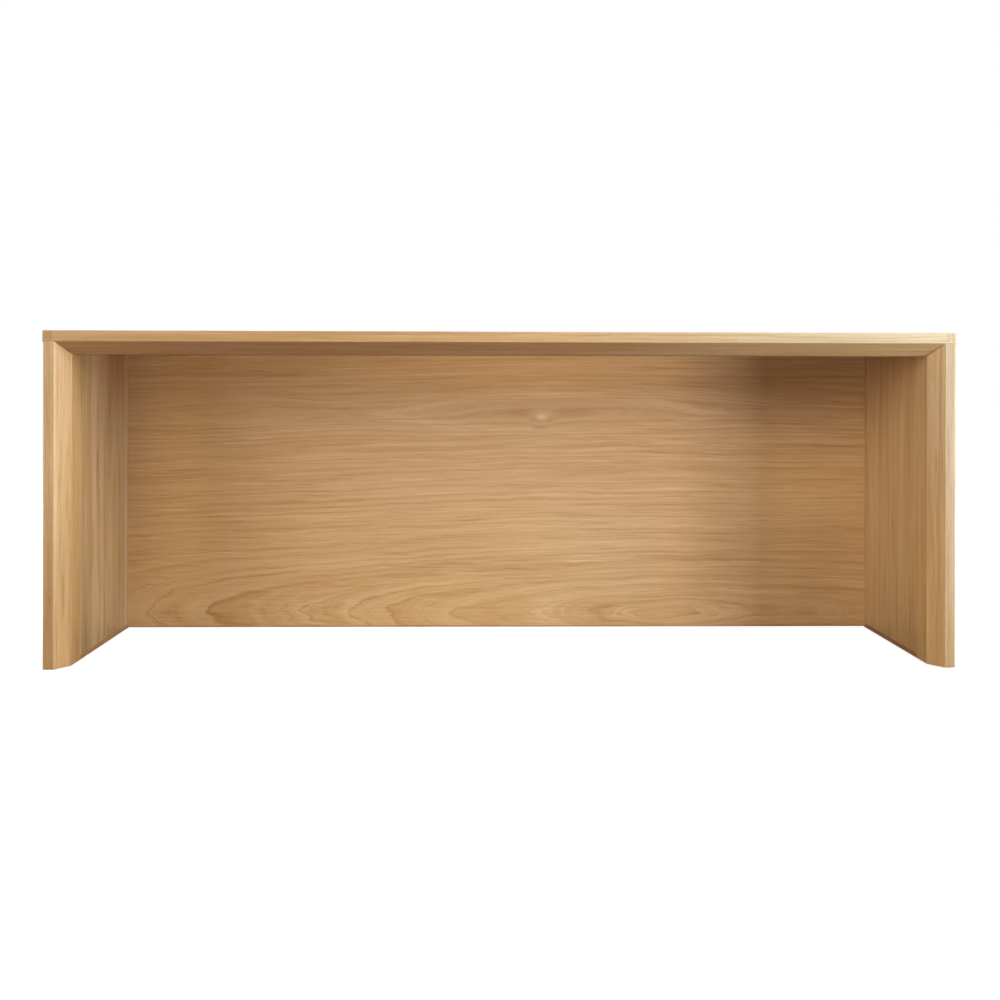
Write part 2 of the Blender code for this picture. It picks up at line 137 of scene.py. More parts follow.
def tinted(tree, mask, colour, shares):
    # the colour times the shares where the mask is 1, and as it was where the mask is 0
    return blended(tree, 1.0, colour, blended(tree, mask, (1.0, 1.0, 1.0, 1.0), shares), "MULTIPLY")


def newGroup(name, inputs, outputs):
    group = bpy.data.node_groups.new(name, "ShaderNodeTree")
    for label, value in inputs.items():
        kind = "NodeSocketVector" if isinstance(value, tuple) else "NodeSocketFloat"
        made = group.interface.new_socket(name=label, in_out="INPUT", socket_type=kind)
        made.default_value = value
    for label in outputs:
        group.interface.new_socket(name=label, in_out="OUTPUT", socket_type="NodeSocketFloat")
    return group, group.nodes.new("NodeGroupInput").outputs, group.nodes.new("NodeGroupOutput").inputs


def useGroup(tree, group, **values):
    # heartAcross=... sets the input called Heart Across
    node = tree.nodes.new("ShaderNodeGroup")
    node.node_tree = group
    for label, value in values.items():
        socket = node.inputs[label[0].upper() + "".join(" " + c if c.isupper() else c for c in label[1:])]
        plug(tree, socket, value)
    return node.outputs


# shader groups that several finishes share

# a pair is how often a cloud repeats in a metre, along the grain and across it
grainShape = {
    "slowSwing": (1.1, 3.2),
    "middleSwing": (4.2, 15.0),
    "middleShare": 0.45,
    "kinks": (15.0, 48.0),
    "kinkShare": 0.07,
    "deepKinkShare": 0.26,
    "swell": (2.2, 1.0),
    "slowSideTaper": 0.35,
    "leastSlope": 0.012,
    "unevenYears": 2.6,
    "fadeAlong": 4.5,
    "fadeByYear": 1.3,
    "mainLine": (1.0, 0.0085),  # these two are lines a year, and metres thick
    "fineLine": (2.7, 0.0055),
    "toneAlong": 1.1,
    "toneByYear": 0.55,
    "streakAlong": 3.8,
    "fibre": (11.0, 420.0),
    "pore": (60.0, 1300.0),
}


def makeGrainGroup():
    # growth rings round a heart line that runs along X, cut by whatever face the piece shows
    group, given, result = newGroup(
        "woodGrain",
        {"Position": (0.0, 0.0, 0.0), "Heart Across": 0.0, "Heart Depth": 0.1, "Taper": 0.0,
         "Taper Centre": 0.0, "Ring Width": 0.012, "Wander": 0.03, "Seed": 0.0, "Streak Scale": 175.0,
         "Follow": 0.0},
        ("Line", "Early", "Band", "Tone", "Streak", "Fibre", "Pore"))
    along, across, depth = parted(group, given["Position"])
    seed = given["Seed"]
    ringWidth = given["Ring Width"]

    def stretched(scales, second, third, detail, roughness=0.5):
        # a cloud drawn out along the grain
        place = joined(group, times(group, along, scales[0]), times(group, second, scales[1]), third)
        return cloud(group, place, 1.0, detail, roughness)

    def centred(value):
        return minus(group, value, 0.5)

    # the board's wander: long swings, then small kinks that make a figure jagged
    slow = stretched(grainShape["slowSwing"], across, seed, 1.0)
    middle = stretched(grainShape["middleSwing"], across, plus(group, seed, 3.7), 2.0, 0.55)
    kinks = centred(stretched(grainShape["kinks"], across, plus(group, seed, 9.1), 2.0))
    drift = timesPlus(group, centred(middle), grainShape["middleShare"], centred(slow))
    drift = timesPlus(group, kinks, grainShape["kinkShare"], drift)
    acrossNow = timesPlus(group, drift, given["Wander"], across)
    fromHeart = minus(group, acrossNow, given["Heart Across"])
    # the trunk swells quickly to one side of the centre and slowly to the other
    past = minus(group, along, given["Taper Centre"])
    rise = calc(group, "MAXIMUM", times(group, past, -1.0), times(group, past, grainShape["slowSideTaper"]))
    deep = plus(group, plus(group, depth, given["Heart Depth"]), times(group, rise, given["Taper"]))
    swell = stretched(grainShape["swell"], seed, 0.0, 2.0)
    deep = timesPlus(group, centred(swell), given["Wander"], deep)
    deep = timesPlus(group, kinks, times(group, given["Wander"], grainShape["deepKinkShare"]), deep)
    square = times(group, fromHeart, fromHeart)
    radius = calc(group, "SQRT", timesPlus(group, deep, deep, square))
    # how steeply the face cuts the rings: a line keeps its width where they run flat
    leastTerm = times(group, times(group, deep, deep), grainShape["leastSlope"])
    steep = calc(group, "DIVIDE", calc(group, "SQRT", plus(group, square, leastTerm)), radius)
    years = calc(group, "DIVIDE", radius, ringWidth)
    uneven = cloud(group, joined(group, times(group, years, 0.45), seed, 0.0), 1.0, 1.0)
    years = timesPlus(group, uneven, grainShape["unevenYears"], years)

    # lines come and go along the board
    fadePlace = joined(group, times(group, along, grainShape["fadeAlong"]),
                       times(group, years, grainShape["fadeByYear"]), seed)
    fade = cloud(group, fadePlace, 1.0, 3.0, 0.6)

    def ringLines(count, thick):
        # so many lines a year, each so thick, and of a strength of its own
        phase = times(group, years, count)
        saw = calc(group, "FRACT", phase)
        strength = group.nodes.new("ShaderNodeTexWhiteNoise")
        strength.noise_dimensions = "2D"
        group.links.new(joined(group, calc(group, "FLOOR", phase), seed, 0.0), strength.inputs["Vector"])
        spacing = calc(group, "DIVIDE", ringWidth, count)
        left = calc(group, "DIVIDE", times(group, minus(group, 1.0, saw), spacing), steep)
        edge = times(group, ramped(group, left, thick, thick * 0.2), ramped(group, left, 0.0, thick * 0.3))
        return saw, times(group, edge, ramped(group, strength.outputs["Value"], 0.1, 0.9, 0.1, 1.0))

    saw, main = ringLines(*grainShape["mainLine"])
    fine = ringLines(*grainShape["fineLine"])[1]
    # where the face cuts the rings steeply the lines crowd into faint stripes
    crowd = ramped(group, steep, 0.12, 0.7, 1.0, 0.55)
    line = calc(group, "ADD", times(group, main, ramped(group, fade, 0.34, 0.62, 0.1, 1.0)),
                times(group, fine, ramped(group, fade, 0.62, 0.38, 0.0, 0.5)), clamp=True)
    # the pale wood of spring, widest where the rings run flat
    early = times(group, ramped(group, saw, 0.45, 0.05), ramped(group, steep, 0.6, 0.15))
    early = times(group, early, ramped(group, fade, 0.4, 0.6))
    tonePlace = joined(group, times(group, along, grainShape["toneAlong"]),
                       times(group, years, grainShape["toneByYear"]), seed)

    # fine streaks: straight along the board, or following its rings
    scale = given["Streak Scale"]
    streakAlong = grainShape["streakAlong"]
    straight = stretched((streakAlong, scale), acrossNow, times(group, depth, scale), 3.0, 0.72)
    turned = stretched((streakAlong, times(group, scale, ringWidth)), years, seed, 3.0, 0.72)
    streak = timesPlus(group, minus(group, turned, straight), given["Follow"], straight)

    def thread(scales, detail, roughness=0.5):
        return stretched(scales, acrossNow, times(group, depth, scales[1]), detail, roughness)

    masks = {
        "Line": times(group, line, crowd),
        "Early": early,
        "Band": times(group, saw, saw),
        "Tone": cloud(group, tonePlace, 1.0, 2.0),
        "Streak": streak,
        "Fibre": thread(grainShape["fibre"], 3.0, 0.65),
        "Pore": ramped(group, thread(grainShape["pore"], 1.0), 0.6, 0.74),
    }
    for label, value in masks.items():
        group.links.new(value, result[label])
    return group


def makeEdgeWearGroup():
    # a worn arris: the mask painted on the mesh, broken up so that it comes and goes
    group, given, result = newGroup(
        "edgeWear", {"Position": (0.0, 0.0, 0.0), "Arris": 0.0, "Amount": 1.0}, ("Mask",))
    patch = cloud(group, given["Position"], 26.0, 3.0, 0.6)
    chips = cloud(group, given["Position"], 210.0, 2.0, 0.6)
    broken = plus(group, times(group, patch, 0.7), times(group, chips, 0.3))
    mask = times(group, ramped(group, given["Arris"], 0.25, 0.95), ramped(group, broken, 0.3, 0.62))
    group.links.new(calc(group, "MULTIPLY", mask, given["Amount"], clamp=True), result["Mask"])
    return group


def makeLacquerGroup():
    # satin lacquer: slight unevenness, faint wipe marks along the grain
    group, given, result = newGroup(
        "satinLacquer", {"Position": (0.0, 0.0, 0.0), "Sheen": 0.42, "Spread": 0.12},
        ("Roughness", "Orange Peel"))
    x, y, z = parted(group, given["Position"])
    wide = cloud(group, given["Position"], 7.0, 2.0)
    wipePlace = joined(group, times(group, x, 4.0), times(group, y, 60.0), times(group, z, 60.0))
    wipe = cloud(group, wipePlace, 1.0, 2.0)
    both = plus(group, times(group, wide, 0.6), times(group, wipe, 0.4))
    rough = timesPlus(group, minus(group, both, 0.5), given["Spread"], given["Sheen"])
    group.links.new(rough, result["Roughness"])
    group.links.new(cloud(group, given["Position"], 420.0, 1.0), result["Orange Peel"])
    return group


grainGroup = makeGrainGroup()
wearGroup = makeEdgeWearGroup()
lacquerGroup = makeLacquerGroup()
print("carrel: shared shader groups made")


# finishes

def startMaterial(name):
    material = bpy.data.materials.new(name)
    material.use_nodes = True
    tree = material.node_tree
    return material, tree, tree.nodes["Principled BSDF"].inputs


def bumped(tree, shader, heights, strength, distance):
    total = heights[0]
    for more in heights[1:]:
        total = plus(tree, total, more)
    node = tree.nodes.new("ShaderNodeBump")
    node.inputs["Strength"].default_value = strength
    node.inputs["Distance"].default_value = distance
    tree.links.new(total, node.inputs["Height"])
    tree.links.new(node.outputs[0], shader["Normal"])


def turnedTo(tree, grainAlong):
    # the place with X along the grain, Y across it and Z through it; then the distance from the
    # carrel's middle, and the place from front to back
    x, y, z = parted(tree, tree.nodes.new("ShaderNodeTexCoord").outputs["Object"])
    order = {"x": (x, z, y), "y": (y, x, z), "z": (z, y, x), "top": (x, y, z)}[grainAlong]
    return joined(tree, *order), calc(tree, "ABSOLUTE", x), y


def stripeTone(tree, across, stripes):
    # pale and dark staves: (from, to, tone, soft edge), in metres from front to back
    total = 0.0
    for low, high, tone, soft in stripes:
        inside = times(tree, ramped(tree, across, low - soft, low + soft),
                       ramped(tree, across, high + soft, high - soft))
        total = timesPlus(tree, inside, tone, total)
    return total


def offsets(tree, along, across, spot):
    # the way to a spot's middle, along and across, in half lengths of the spot
    middleAlong, middleAcross, long, wide = spot
    return (calc(tree, "DIVIDE", minus(tree, along, middleAlong), long),
            calc(tree, "DIVIDE", minus(tree, across, middleAcross), wide))


def squares(tree, first, second):
    return plus(tree, times(tree, first, first), times(tree, second, second))


def spotMask(tree, along, across, spots):
    # small round-edged spots: (along, across, half length, half width, strength)
    total = 0.0
    for *spot, strength in spots:
        far = calc(tree, "SQRT", squares(tree, *offsets(tree, along, across, spot)))
        total = timesPlus(tree, ramped(tree, far, 1.0, 0.35), strength, total)
    return total


# the carrel's leading planes, all read from the frame

topLow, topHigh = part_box("top_nosing")
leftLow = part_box("left_nosing")[0]
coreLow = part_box("top_core")[0]
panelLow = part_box("top_rear_lipping")[0]
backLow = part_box("back_front_veneer")[0]
frontY = topLow.y
underZ = topLow.z
slab = topHigh.z - underZ
outerX = -leftLow.x
sideFoot = leftLow.z
glueLine = coreLow.y - topHigh.y
sideTop = underZ - glueLine
step = panelLow.z - underZ  # the top is thinner behind its nosing
sightZ = panelLow.z - 0.002  # as high on the back as shows under the nosing

# every shade of a wood as a share of its body colour: red, green, blue
woodShades = {
    "pale": (1.15, 1.27, 1.45),
    "deep": (0.88, 0.80, 0.68),
    "line": (0.62, 0.45, 0.22),
    "pore": (0.36, 0.28, 0.19),
    "worn": (1.25, 1.32, 1.48),
}
woodDefaults = {
    "body": "c79b6b",
    "grainAlong": "x",
    "seed": 1.0,
    "heartAcross": 0.3,
    "heartDepth": 0.12,
    "taper": 0.0,
    "taperCentre": 0.0,
    "ringWidth": 0.011,
    "wander": 0.03,
    "streakScale": 175.0,
    "follow": 0.0,
    "toneSpread": 0.8,
    "lineStrength": 0.5,
    "bandStrength": 0.26,
    "earlyStrength": 0.3,
    "darkStrength": 0.42,
    "paleStrength": 0.74,
    "poreStrength": 0.22,
    "stripes": (),
    "knots": (),
    "eyes": (),  # the pale hearts of knots
    "paintedLightAndTone": (),  # painted light and shade, partly the wood's own tone, soft and wide: (along, across, half length, half width, shares of the colour)
    "flames": (),
    "flameCalm": 0.55,
    "sheen": 0.42,
    "sheenSpread": 0.14,
    "lacquer": 0.4,
    "lacquerRoughness": 0.3,
    "bump": 0.25,
    "bumpDepth": 0.0004,
    "wear": 0.5,
    "wornRoughness": 0.12,
    # for a nosing: a painted sheen towards its far end, shares of painted light and shade on its front
    # flat, partly the wood's own tone, and a darker outer face
    "flatLightAndTone": (),  # from here on for a nosing
    "flatFarLightAndTone": (),
    "flatMarks": (),
    "outerShare": (),
    "farSheenBody": "",
    "fadeFrom": 0.0,
    "fadeTo": 1.0,
}

# the front flat's painted light and tone, and the outer face's darker share, fade out over this distance
# behind the front or inside the outer face
faceFade = {
    "front": (0.0003, 0.0012),
    "outer": (0.0012, 0.0003),
}
flameShape = {
    "ragged": (9.0, 40.0),
    "raggedness": 0.7,
    "inside": (1.05, 0.6),
    "rimOutside": (1.35, 1.1),
    "rimInside": (0.75, 1.0),
}
bumpShares = {
    "Fibre": 0.5,
    "Pore": -0.7,
    "Line": -0.25,
    "Orange Peel": 0.15,
}


def shaded(code, shares):
    return (*[min(1.0, part * share) for part, share in zip(hexColour(code), shares)], 1.0)


def bentRound(tree, along, across, flames):
    # the lines swell apart round a flame or a knot, which is calm inside, with pointed ends and a broken
    # pale rim; flames are (along, across, half length, half width, swelling, rim)
    bent = across
    calm = 0.0
    rim = 0.0
    if not flames:
        return bent, calm, rim
    raggedPlace = joined(tree, times(tree, along, flameShape["ragged"][0]),
                         times(tree, across, flameShape["ragged"][1]), 0.0)
    ragged = cloud(tree, raggedPlace, 1.0, 3.0, 0.6)
    for *spot, swelling, rimStrength in flames:
        dx, dy = offsets(tree, along, across, spot)
        far = plus(tree, calc(tree, "POWER", dx, 4.0), times(tree, dy, dy))
        reach = calc(tree, "EXPONENT", times(tree, far, -1.0))
        pull = times(tree, minus(tree, across, spot[1]), swelling)
        bent = minus(tree, bent, times(tree, reach, pull))
        edge = plus(tree, times(tree, dx, dx), calc(tree, "ABSOLUTE", dy))
        raggedness = flameShape["raggedness"]
        edge = timesPlus(tree, ragged, raggedness, minus(tree, edge, raggedness / 2))
        calm = calc(tree, "MAXIMUM", calm, ramped(tree, edge, *flameShape["inside"]))
        ring = times(tree, ramped(tree, edge, *flameShape["rimOutside"]),
                     ramped(tree, edge, *flameShape["rimInside"]))
        rim = timesPlus(tree, ring, rimStrength, rim)
    return bent, calm, rim


def figureColour(tree, look, shade, grain, across, calm, rim):
    # the body colour, shaded by the masks of the grain
    tone = timesPlus(tree, minus(tree, grain["Tone"], 0.5), look["toneSpread"], 0.5)
    if look["stripes"]:
        tone = plus(tree, tone, stripeTone(tree, across, look["stripes"]))
    streaked = timesPlus(tree, minus(tree, grain["Fibre"], 0.5), 0.7, grain["Streak"])
    if look["flames"]:
        lively = timesPlus(tree, calm, -look["flameCalm"], 1.0)
        streaked = timesPlus(tree, minus(tree, streaked, 0.5), lively, 0.5)
        tone = plus(tree, tone, rim)
    body = hexColour(look["body"])
    colour = blended(tree, ramped(tree, tone, 0.5, 1.0, smooth=False), body, shade["pale"])
    colour = blended(tree, ramped(tree, tone, 0.5, 0.0, smooth=False), colour, shade["deep"])
    layers = (
        (grain["Band"], "deep", "bandStrength"),
        (grain["Early"], "pale", "earlyStrength"),
        (ramped(tree, streaked, 0.5, 0.78), "line", "darkStrength"),
        (ramped(tree, streaked, 0.5, 0.25), "pale", "paleStrength"),
        (grain["Line"], "line", "lineStrength"),
        (grain["Pore"], "pore", "poreStrength"),
    )
    for mask, label, strength in layers:
        colour = blended(tree, times(tree, mask, look[strength]), colour, shade[label])
    return colour


def knotsAndPaintedLight(tree, look, shade, colour, along, across):
    # knots and their pale hearts, then soft wide zones of painted light and shade, partly the wood's own
    # tone, that make the board paler or darker
    for spots, label in ((look["knots"], "line"), (look["eyes"], "pale")):
        if spots:
            colour = blended(tree, spotMask(tree, along, across, spots), colour, shade[label])
    # each zone multiplies the colour: painted highlights, painted shadow and painted shade, with some of
    # the wood's own tone
    for *spot, shares in look["paintedLightAndTone"]:
        far = squares(tree, *offsets(tree, along, across, spot))
        reach = calc(tree, "EXPONENT", times(tree, far, -1.0))
        colour = tinted(tree, reach, colour, (*shares, 1.0))
    return colour


def nosingColour(tree, look, shade, colour, along, aside, behind):
    # a nosing's colour changes from one end to the other, a painted sheen that is paler towards the far
    # end; its front flat gets shares of painted light and shade, partly the wood's own tone, and its outer
    # face a darker share of its own
    fade = ramped(tree, along, look["fadeFrom"], look["fadeTo"])
    shares = [far / near for far, near in zip(hexColour(look["farSheenBody"]), hexColour(look["body"]))]
    # painted sheen: paler towards the far end
    colour = tinted(tree, fade, colour, tuple(shares))
    low, high = faceFade["front"]
    front = ramped(tree, behind, frontY + low, frontY + high, 1.0, 0.0)
    farShare = look["flatFarLightAndTone"] or look["flatLightAndTone"]
    # the front flat: painted light and shade, partly the wood's own tone
    share = blended(tree, fade, (*look["flatLightAndTone"], 1.0), (*farShare, 1.0))
    colour = tinted(tree, front, colour, share)
    if look["flatMarks"]:
        spots = times(tree, spotMask(tree, along, aside, look["flatMarks"]), front)
        colour = blended(tree, spots, colour, shade["line"])
    if look["outerShare"]:
        low, high = faceFade["outer"]
        outer = ramped(tree, aside, outerX - low, outerX - high)
        colour = tinted(tree, outer, colour, (*look["outerShare"], 1.0))
    return colour


def makeWood(name, **changes):
    look = {**woodDefaults, **changes}
    shade = {label: shaded(look["body"], shares) for label, shares in woodShades.items()}
    material, tree, shader = startMaterial(name)
    where, aside, behind = turnedTo(tree, look["grainAlong"])
    along, across, depth = parted(tree, where)
    bent, calm, rim = bentRound(tree, along, across, look["flames"])
    grain = useGroup(tree, grainGroup, position=joined(tree, along, bent, depth),
                     heartAcross=look["heartAcross"], heartDepth=look["heartDepth"], taper=look["taper"],
                     taperCentre=look["taperCentre"], ringWidth=look["ringWidth"], wander=look["wander"],
                     seed=look["seed"], streakScale=look["streakScale"], follow=look["follow"])
    lacquer = useGroup(tree, lacquerGroup, position=where, sheen=look["sheen"], spread=look["sheenSpread"])
    painted = tree.nodes.new("ShaderNodeAttribute")
    painted.attribute_name = "arris"
    wear = useGroup(tree, wearGroup, position=where, arris=painted.outputs["Fac"], amount=look["wear"])

    colour = figureColour(tree, look, shade, grain, across, calm, rim)
    colour = knotsAndPaintedLight(tree, look, shade, colour, along, across)
    if look["flatLightAndTone"]:
        colour = nosingColour(tree, look, shade, colour, along, aside, behind)
    colour = blended(tree, wear["Mask"], colour, shade["worn"])
    tree.links.new(colour, shader["Base Color"])
    tree.links.new(timesPlus(tree, wear["Mask"], look["wornRoughness"], lacquer["Roughness"]),
                   shader["Roughness"])
    shader["Coat Weight"].default_value = look["lacquer"]
    shader["Coat Roughness"].default_value = look["lacquerRoughness"]
    heights = [times(tree, (lacquer if label == "Orange Peel" else grain)[label], share)
               for label, share in bumpShares.items()]
    bumped(tree, shader, heights, look["bump"], look["bumpDepth"])
    return material


boardLook = {
    "chip": "b99a72",
    "dark": "6f5638",
    "flakeSize": 260.0,
    "dust": 900.0,
    "roughness": (0.75, 0.95),
}


def makeBoard(name):
    # pressed chips: flakes of a few millimetres, pale and dark
    material, tree, shader = startMaterial(name)
    where = tree.nodes.new("ShaderNodeTexCoord").outputs["Object"]
    flakes = tree.nodes.new("ShaderNodeTexVoronoi")
    flakes.inputs["Scale"].default_value = boardLook["flakeSize"]
    tree.links.new(where, flakes.inputs["Vector"])
    fine = cloud(tree, where, boardLook["dust"], 2.0)
    dark = hexColour(boardLook["dark"])
    colour = blended(tree, flakes.outputs["Distance"], hexColour(boardLook["chip"]), dark)
    colour = blended(tree, ramped(tree, fine, 0.4, 0.7, 0.0, 0.4), colour, dark)
    tree.links.new(colour, shader["Base Color"])
    tree.links.new(ramped(tree, fine, 0.2, 0.8, *boardLook["roughness"]), shader["Roughness"])
    bumped(tree, shader, (fine, flakes.outputs["Distance"]), 0.5, 0.0006)
    return material


metalLooks = {
    "castZinc": {"clean": "b9b9b4", "dull": "8d8d88", "roughness": (0.30, 0.50), "grit": 700.0},
    "platedSteel": {"clean": "c9c5ba", "dull": "9a968b", "roughness": (0.24, 0.44), "grit": 500.0},
}


def makeMetal(name):
    look = metalLooks[name]
    material, tree, shader = startMaterial(name)
    shader["Metallic"].default_value = 1.0
    where = tree.nodes.new("ShaderNodeTexCoord").outputs["Object"]
    blotch = cloud(tree, where, 90.0, 3.0)
    fine = cloud(tree, where, look["grit"], 2.0)
    dulled = ramped(tree, blotch, 0.35, 0.7)
    tree.links.new(blended(tree, dulled, hexColour(look["clean"]), hexColour(look["dull"])),
                   shader["Base Color"])
    tree.links.new(ramped(tree, blotch, 0.2, 0.8, *look["roughness"]), shader["Roughness"])
    bumped(tree, shader, (fine, blotch), 0.2, 0.0002)
    return material


nylonLook = {
    "clean": "dedad0",
    "grimy": "a59c8b",
    "roughness": (0.35, 0.6),
}


def makeNylon(name):
    material, tree, shader = startMaterial(name)
    where = tree.nodes.new("ShaderNodeTexCoord").outputs["Object"]
    scuff = cloud(tree, where, 160.0, 4.0, 0.65)
    grime = cloud(tree, where, 45.0, 2.0)
    colour = blended(tree, ramped(tree, grime, 0.45, 0.75, 0.0, 0.5), hexColour(nylonLook["clean"]),
                     hexColour(nylonLook["grimy"]))
    tree.links.new(colour, shader["Base Color"])
    tree.links.new(ramped(tree, scuff, 0.3, 0.7, *nylonLook["roughness"]), shader["Roughness"])
    bumped(tree, shader, (scuff,), 0.3, 0.0002)
    return material


# the front edge that every slab shares
edgeShape = {
    "flat": 0.0175,
    "bevelDepth": 0.030,
    "arrisRadius": 0.0012,
    "endEase": 0.0008,
    "arcSteps": 6,
    "sharpAngle": 33.0,  # degrees
    "wearReach": 0.004,
}


def arcPoints(before, corner, after, radius):
    back = (before - corner).normalized()
    ahead = (after - corner).normalized()
    half = back.angle(ahead) / 2
    centre = corner + (back + ahead).normalized() * (radius / math.sin(half))
    start = corner + back * (radius / math.tan(half)) - centre
    turn = start.angle_signed(corner + ahead * (radius / math.tan(half)) - centre)
    steps = edgeShape["arcSteps"]
    return [centre + Matrix.Rotation(-turn * i / steps, 2) @ start for i in range(steps + 1)]


def sectionOf(corners):
    # a closed section from (x, y, radius, worn) corners, as points with an arris mask;
    # an unpainted point stands a little way off each worn arris
    flat = [Vector(c[:2]) for c in corners]
    reach = edgeShape["wearReach"]
    points = []
    for i, (x, y, radius, worn) in enumerate(corners):
        before, corner, after = flat[i - 1], flat[i], flat[(i + 1) % len(flat)]
        arc = arcPoints(before, corner, after, radius) if radius else [corner]
        if worn:
            points.append((corner + (before - corner).normalized() * reach, 0.0))
        points += [(p, worn) for p in arc]
        if worn:
            points.append((corner + (after - corner).normalized() * reach, 0.0))
    return points


def inwardNormals(points):
    found = []
    for i, (p, mask) in enumerate(points):
        before = (p - points[i - 1][0]).normalized()
        after = (points[(i + 1) % len(points)][0] - p).normalized()
        across = (before + after).normalized()
        found.append(Vector((across.y, -across.x)))
    return found


def sweptPiece(name, section, stations, toWorld, material, endHeight=None, fold=None):
    # a section swept through stations of (distance, inset, worn); endHeight moves the last station's points
    # and fold names the two points its end is folded between
    inward = inwardNormals(section)
    area = sum(section[i - 1][0].cross(section[i][0]) for i in range(len(section)))
    side = 1 if area < 0 else -1
    mesh = bpy.data.meshes.new(name)
    work = bmesh.new()
    arris = work.verts.layers.float.new("arris")
    rings = []
    for number, (distance, inset, worn) in enumerate(stations):
        ring = []
        for (p, mask), normal in zip(section, inward):
            q = p + normal * inset * side
            far = distance
            if endHeight and number == len(stations) - 1:
                far += endHeight(q.x)
            vert = work.verts.new(toWorld @ Vector((q.x, q.y, far)))
            vert[arris] = max(mask, worn)
            ring.append(vert)
        rings.append(ring)
    for low, high in zip(rings, rings[1:]):
        for i in range(len(low)):
            work.faces.new((low[i - 1], low[i], high[i], high[i - 1]))
    work.faces.new(list(reversed(rings[0])))
    cap = work.faces.new(rings[-1])
    if fold:
        bmesh.utils.face_split(cap, rings[-1][fold[0]], rings[-1][fold[1]])
    bmesh.ops.recalc_face_normals(work, faces=work.faces)
    work.to_mesh(mesh)
    work.free()
    mesh.shade_smooth()
    made = addObject(name, mesh, material)
    mesh.set_sharp_from_angle(angle=math.radians(edgeShape["sharpAngle"]))
    return made


def slabCorners(depth, steppedAt=None):
    # x runs back from the front, y up from the slab's inner face; a stepped section is thinner at the back
    r = edgeShape["arrisRadius"]
    front = (
        (0.0, slab, r, 1.0),
        (0.0, slab - edgeShape["flat"], r, 0.8),
        (edgeShape["bevelDepth"], 0.0, r, 0.6),
    )
    if steppedAt is None:
        return front + ((depth, 0.0, 0.0, 0.0), (depth, slab, 0.0, 0.0))
    return front + ((steppedAt, 0.0, 0.0, 0.0), (steppedAt, step, 0.0, 0.0), (depth, step, r, 0.8),
                    (depth, slab, r, 0.8))


